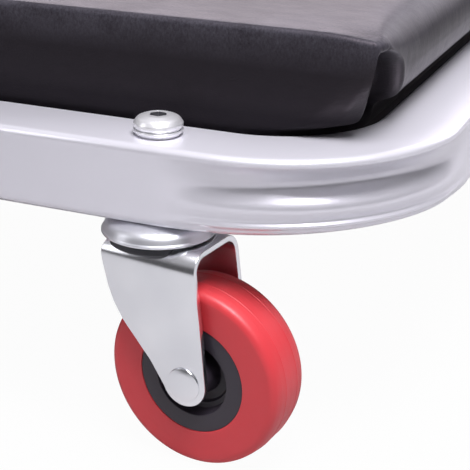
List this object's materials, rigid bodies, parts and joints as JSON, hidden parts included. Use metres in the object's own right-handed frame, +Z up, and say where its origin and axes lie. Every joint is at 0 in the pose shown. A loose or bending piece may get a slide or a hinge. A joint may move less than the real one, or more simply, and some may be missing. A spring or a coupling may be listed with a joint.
{
  "type": "creeper seat",
  "caption": "Low padded garage creeper in three hinged sections on swivel casters, which folds up into a rolling work seat.",
  "frame": {"origin": "on the floor under the middle of the creeper laid flat", "axes": "+X along the length towards the base's end bar, +Y to the left, +Z up"},
  "size_m": [1.016, 0.4366, 0.183],
  "materials": {
    "frame_paint": "silver metallic paint, semi-gloss",
    "pad_vinyl": "black grained vinyl, satin",
    "plywood": "raw plywood",
    "plug_plastic": "black moulded plastic",
    "knob_plastic": "black moulded plastic",
    "bright_zinc": "bright zinc plate",
    "ball_steel": "polished steel",
    "wheel_urethane": "red cast urethane, satin",
    "hub_nylon": "black moulded nylon"
  },
  "bodies": {
    "base": {"base_frame": "frame_paint", "base_straps": "frame_paint", "base_board": "plywood", "base_pad": "pad_vinyl", "base_pad_screws": "bright_zinc", "base_tube_plugs": "plug_plastic", "base_hinge_ears": "frame_paint", "base_swivel_cups": "bright_zinc", "base_swivel_balls": "ball_steel", "base_caster_bolts": "bright_zinc", "base_caster_washers": "bright_zinc", "base_caster_nuts": "bright_zinc", "knee_pivot_bolts": "bright_zinc", "knee_pivot_nuts": "bright_zinc"},
    "right_lock": {"right_lock_pin": "knob_plastic"},
    "left_lock": {"left_lock_pin": "knob_plastic"},
    "middle": {"middle_rails": "frame_paint", "middle_straps": "frame_paint", "middle_board": "plywood", "middle_pad": "pad_vinyl", "middle_pad_screws": "bright_zinc", "middle_tube_plugs": "plug_plastic", "middle_hinge_ears": "frame_paint", "hip_pivot_rivets": "bright_zinc"},
    "seat": {"seat_frame": "frame_paint", "seat_straps": "frame_paint", "seat_board": "plywood", "seat_pad": "pad_vinyl", "seat_pad_screws": "bright_zinc", "seat_tube_plugs": "plug_plastic", "seat_hinge_ears": "frame_paint", "seat_swivel_cups": "bright_zinc", "seat_swivel_balls": "ball_steel", "seat_caster_bolts": "bright_zinc", "seat_caster_washers": "bright_zinc", "seat_caster_nuts": "bright_zinc"},
    "base_end_right_swivel_fork": {"base_end_right_fork": "bright_zinc", "base_end_right_axle": "bright_zinc"},
    "base_end_right_wheel": {"base_end_right_tyre": "wheel_urethane", "base_end_right_hub": "hub_nylon"},
    "base_end_left_swivel_fork": {"base_end_left_fork": "bright_zinc", "base_end_left_axle": "bright_zinc"},
    "base_end_left_wheel": {"base_end_left_tyre": "wheel_urethane", "base_end_left_hub": "hub_nylon"},
    "base_knee_right_swivel_fork": {"base_knee_right_fork": "bright_zinc", "base_knee_right_axle": "bright_zinc"},
    "base_knee_right_wheel": {"base_knee_right_tyre": "wheel_urethane", "base_knee_right_hub": "hub_nylon"},
    "base_knee_left_swivel_fork": {"base_knee_left_fork": "bright_zinc", "base_knee_left_axle": "bright_zinc"},
    "base_knee_left_wheel": {"base_knee_left_tyre": "wheel_urethane", "base_knee_left_hub": "hub_nylon"},
    "seat_end_right_swivel_fork": {"seat_end_right_fork": "bright_zinc", "seat_end_right_axle": "bright_zinc"},
    "seat_end_right_wheel": {"seat_end_right_tyre": "wheel_urethane", "seat_end_right_hub": "hub_nylon"},
    "seat_end_left_swivel_fork": {"seat_end_left_fork": "bright_zinc", "seat_end_left_axle": "bright_zinc"},
    "seat_end_left_wheel": {"seat_end_left_tyre": "wheel_urethane", "seat_end_left_hub": "hub_nylon"}
  },
  "joints": [
    {"name": "knee_hinge", "type": "hinge", "parent": "base", "child": "middle", "pos_m": [0.15748, 0, 0.17], "axis": [0, 1, 0], "range_deg": [0, 148]},
    {"name": "hip_hinge", "type": "hinge", "parent": "middle", "child": "seat", "pos_m": [-0.19812, 0, 0.0836], "axis": [0, -1, 0], "range_deg": [0, 148]},
    {"name": "right_lock_slide", "type": "slide", "parent": "base", "child": "right_lock", "axis": [0, 1, 0], "range_m": [0, 0.006]},
    {"name": "left_lock_slide", "type": "slide", "parent": "base", "child": "left_lock", "axis": [0, -1, 0], "range_m": [0, 0.006]},
    {"name": "base_end_right_swivel", "type": "hinge", "parent": "base", "child": "base_end_right_swivel_fork", "pos_m": [0.408, -0.194, 0.09], "axis": [0, 0, 1], "continuous": true},
    {"name": "base_end_right_roll", "type": "hinge", "parent": "base_end_right_swivel_fork", "child": "base_end_right_wheel", "pos_m": [0.42916, -0.19641, 0.0375], "axis": [0.1132, 0.9936, 0], "continuous": true},
    {"name": "base_end_left_swivel", "type": "hinge", "parent": "base", "child": "base_end_left_swivel_fork", "pos_m": [0.408, 0.194, 0.09], "axis": [0, 0, 1], "continuous": true},
    {"name": "base_end_left_roll", "type": "hinge", "parent": "base_end_left_swivel_fork", "child": "base_end_left_wheel", "pos_m": [0.42916, 0.19641, 0.0375], "axis": [-0.1132, 0.9936, 0], "continuous": true},
    {"name": "base_knee_right_swivel", "type": "hinge", "parent": "base", "child": "base_knee_right_swivel_fork", "pos_m": [0.20348, -0.194, 0.09], "axis": [0, 0, 1], "continuous": true},
    {"name": "base_knee_right_roll", "type": "hinge", "parent": "base_knee_right_swivel_fork", "child": "base_knee_right_wheel", "pos_m": [0.22464, -0.19641, 0.0375], "axis": [0.1132, 0.9936, 0], "continuous": true},
    {"name": "base_knee_left_swivel", "type": "hinge", "parent": "base", "child": "base_knee_left_swivel_fork", "pos_m": [0.20348, 0.194, 0.09], "axis": [0, 0, 1], "continuous": true},
    {"name": "base_knee_left_roll", "type": "hinge", "parent": "base_knee_left_swivel_fork", "child": "base_knee_left_wheel", "pos_m": [0.22464, 0.19641, 0.0375], "axis": [-0.1132, 0.9936, 0], "continuous": true},
    {"name": "seat_end_right_swivel", "type": "hinge", "parent": "seat", "child": "seat_end_right_swivel_fork", "pos_m": [-0.408, -0.194, 0.09], "axis": [0, 0, 1], "continuous": true},
    {"name": "seat_end_right_roll", "type": "hinge", "parent": "seat_end_right_swivel_fork", "child": "seat_end_right_wheel", "pos_m": [-0.38684, -0.19641, 0.0375], "axis": [0.1132, 0.9936, 0], "continuous": true},
    {"name": "seat_end_left_swivel", "type": "hinge", "parent": "seat", "child": "seat_end_left_swivel_fork", "pos_m": [-0.408, 0.194, 0.09], "axis": [0, 0, 1], "continuous": true},
    {"name": "seat_end_left_roll", "type": "hinge", "parent": "seat_end_left_swivel_fork", "child": "seat_end_left_wheel", "pos_m": [-0.38684, 0.19641, 0.0375], "axis": [-0.1132, 0.9936, 0], "continuous": true}
  ]
}
